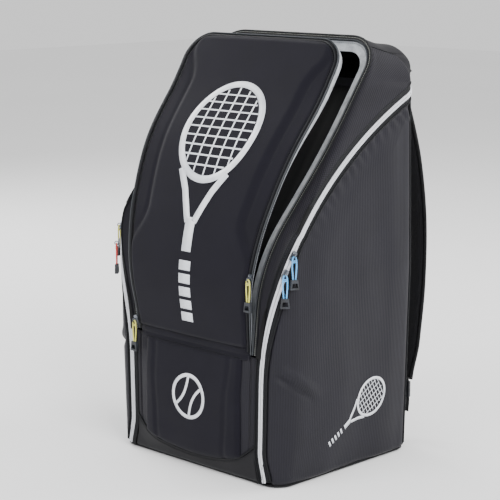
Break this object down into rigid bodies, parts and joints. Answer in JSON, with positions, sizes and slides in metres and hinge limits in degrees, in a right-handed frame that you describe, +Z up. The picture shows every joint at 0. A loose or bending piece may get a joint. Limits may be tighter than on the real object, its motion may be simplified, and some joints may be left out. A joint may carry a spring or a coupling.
{
  "type": "racket backpack",
  "caption": "Free-standing racket backpack with a hinged moulded front flap over a racket compartment, curved side zips that fold out, and padded shoulder straps.",
  "frame": {"origin": "on the floor below the middle of the main compartment, in the plane of symmetry", "axes": "+Z up along the pack, -Y out of the front panel, +Y towards the wearer's back, +X to the pack's right side as seen from the front"},
  "size_m": [0.4434, 0.464, 0.7581],
  "materials": {
    "shell_fabric": "matte woven polyester",
    "ribbed_fabric": "ribbed polyester with a slight sheen",
    "gusset_weave": "dobby weave with small raised dots",
    "moulded_felt": "moulded foam panel with felt face",
    "base_coating": "coated base cloth",
    "lining": "smooth black lining",
    "foam_mesh": "air mesh over foam",
    "zip_tape": "blue-black woven tape",
    "zip_chain": "silver-white coil",
    "racket_chain": "black coil",
    "binding": "silver-grey satin tape, stitched",
    "webbing": "ribbed black webbing",
    "stiffener": "plain polyethylene sheet",
    "buckle": "moulded acetal",
    "slider_metal": "gunmetal",
    "cord_blue": "braided blue cord",
    "cord_yellow": "braided yellow-green cord",
    "cord_red": "braided red cord",
    "tag_moulding": "black moulded tag"
  },
  "bodies": {
    "pack": {"base_panel": "base_coating", "base_board": "stiffener", "front_wall": "shell_fabric", "lower_front_panel": "moulded_felt", "front_gusset_right": "gusset_weave", "front_gusset_left": "gusset_weave", "side_panel_right": "ribbed_fabric", "side_panel_left": "ribbed_fabric", "top_panel": "shell_fabric", "back_panel": "shell_fabric", "back_frame_sheet": "stiffener", "back_pads": "foam_mesh", "compartment_divider": "lining", "main_zip_tape_right": "zip_tape", "main_zip_tape_left": "zip_tape", "main_zip_teeth_right": "zip_chain", "main_zip_teeth_left": "zip_chain", "rim_zip_tape": "zip_tape", "rim_zip_teeth": "racket_chain", "rim_binding": "binding", "strap_anchor_tab_right": "webbing", "strap_anchor_tab_left": "webbing", "strap_yoke": "webbing", "handle_anchors": "webbing"},
    "flap": {"front_flap": "moulded_felt", "flap_zip_tape": "zip_tape", "flap_zip_teeth": "racket_chain", "flap_binding": "binding"},
    "handle": {"grab_handle": "webbing"},
    "door_right": {"door_panel_right": "ribbed_fabric", "door_zip_tape_right": "zip_tape", "door_zip_teeth_right": "zip_chain"},
    "strap_right": {"shoulder_strap_right": "foam_mesh", "ladder_lock_right": "buckle", "lower_webbing_right": "webbing"},
    "main_slider_upper_right": {"main_slider_upper_right": "slider_metal"},
    "main_pull_upper_right": {"main_pull_cord_upper_right": "cord_blue", "main_pull_tag_upper_right": "tag_moulding"},
    "main_slider_lower_right": {"main_slider_lower_right": "slider_metal"},
    "main_pull_lower_right": {"main_pull_cord_lower_right": "cord_blue", "main_pull_tag_lower_right": "tag_moulding"},
    "racket_slider_right": {"racket_slider_right": "slider_metal"},
    "racket_pull_right": {"racket_pull_cord_right": "cord_yellow", "racket_pull_tag_right": "tag_moulding"},
    "door_left": {"door_panel_left": "ribbed_fabric", "door_zip_tape_left": "zip_tape", "door_zip_teeth_left": "zip_chain"},
    "strap_left": {"shoulder_strap_left": "foam_mesh", "ladder_lock_left": "buckle", "lower_webbing_left": "webbing"},
    "main_slider_upper_left": {"main_slider_upper_left": "slider_metal"},
    "main_pull_upper_left": {"main_pull_cord_upper_left": "cord_yellow", "main_pull_tag_upper_left": "tag_moulding"},
    "main_slider_lower_left": {"main_slider_lower_left": "slider_metal"},
    "main_pull_lower_left": {"main_pull_cord_lower_left": "cord_red", "main_pull_tag_lower_left": "tag_moulding"},
    "racket_slider_left": {"racket_slider_left": "slider_metal"},
    "racket_pull_left": {"racket_pull_cord_left": "cord_yellow", "racket_pull_tag_left": "tag_moulding"}
  },
  "joints": [
    {"name": "flap_hinge", "type": "hinge", "parent": "pack", "child": "flap", "pos_m": [0, -0.18, 0.22], "axis": [1, 0, 0], "range_deg": [-8, 90]},
    {"name": "handle_hinge", "type": "hinge", "parent": "pack", "child": "handle", "pos_m": [0, 0.182, 0.706], "axis": [1, 0, 0], "range_deg": [0, 165]},
    {"name": "door_right_fold", "type": "hinge", "parent": "pack", "child": "door_right", "pos_m": [0.211, -0.18, 0.005], "axis": [0, 0.474, 0.8805], "range_deg": [0, 80]},
    {"name": "strap_right_swing", "type": "hinge", "parent": "pack", "child": "strap_right", "pos_m": [0.128, 0.192, 0.64], "axis": [0, -0.0166, 0.9999], "range_deg": [-20, 20]},
    {"name": "main_slider_upper_right_slide", "type": "slide", "parent": "door_right", "child": "main_slider_upper_right", "axis": [0.0066, 0.5502, 0.835], "range_m": [0, 0.025]},
    {"name": "main_pull_upper_right_swing", "type": "hinge", "parent": "main_slider_upper_right", "child": "main_pull_upper_right", "pos_m": [0.21614, -0.15678, 0.396], "axis": [-0.3112, -0.9504, 0], "range_deg": [-3, 110]},
    {"name": "main_slider_lower_right_slide", "type": "slide", "parent": "door_right", "child": "main_slider_lower_right", "axis": [0.2369, 0.1929, 0.9522], "range_m": [-0.054, 0]},
    {"name": "main_pull_lower_right_swing", "type": "hinge", "parent": "main_slider_lower_right", "child": "main_pull_lower_right", "pos_m": [0.2086, -0.17103, 0.366], "axis": [-0.6112, -0.7915, 0], "range_deg": [-3, 110]},
    {"name": "racket_slider_right_slide", "type": "slide", "parent": "flap", "child": "racket_slider_right", "axis": [0.0913, -0.0197, 0.9956], "range_m": [-0.052, 0]},
    {"name": "racket_pull_right_swing", "type": "hinge", "parent": "racket_slider_right", "child": "racket_pull_right", "pos_m": [0.15046, -0.20191, 0.3554], "axis": [-1, 0, 0], "range_deg": [0, 110]},
    {"name": "door_left_fold", "type": "hinge", "parent": "pack", "child": "door_left", "pos_m": [-0.211, -0.18, 0.005], "axis": [0, -0.474, -0.8805], "range_deg": [0, 80]},
    {"name": "strap_left_swing", "type": "hinge", "parent": "pack", "child": "strap_left", "pos_m": [-0.128, 0.192, 0.64], "axis": [0, -0.0166, 0.9999], "range_deg": [-20, 20]},
    {"name": "main_slider_upper_left_slide", "type": "slide", "parent": "door_left", "child": "main_slider_upper_left", "axis": [-0.0066, 0.5502, 0.835], "range_m": [0, 0.025]},
    {"name": "main_pull_upper_left_swing", "type": "hinge", "parent": "main_slider_upper_left", "child": "main_pull_upper_left", "pos_m": [-0.21614, -0.15678, 0.396], "axis": [-0.3112, 0.9504, 0], "range_deg": [-3, 110]},
    {"name": "main_slider_lower_left_slide", "type": "slide", "parent": "door_left", "child": "main_slider_lower_left", "axis": [-0.2369, 0.1929, 0.9522], "range_m": [-0.054, 0]},
    {"name": "main_pull_lower_left_swing", "type": "hinge", "parent": "main_slider_lower_left", "child": "main_pull_lower_left", "pos_m": [-0.2086, -0.17103, 0.366], "axis": [-0.6112, 0.7915, 0], "range_deg": [-3, 110]},
    {"name": "racket_slider_left_slide", "type": "slide", "parent": "flap", "child": "racket_slider_left", "axis": [-0.0919, -0.1386, 0.9861], "range_m": [0, 0.054]},
    {"name": "racket_pull_left_swing", "type": "hinge", "parent": "racket_slider_left", "child": "racket_pull_left", "pos_m": [-0.13985, -0.19219, 0.23848], "axis": [-1, 0, 0], "range_deg": [-10, 110]}
  ],
  "couplings": [
    {"joint": "racket_pull_left_swing", "follows": "flap_hinge", "ratio": 1}
  ]
}
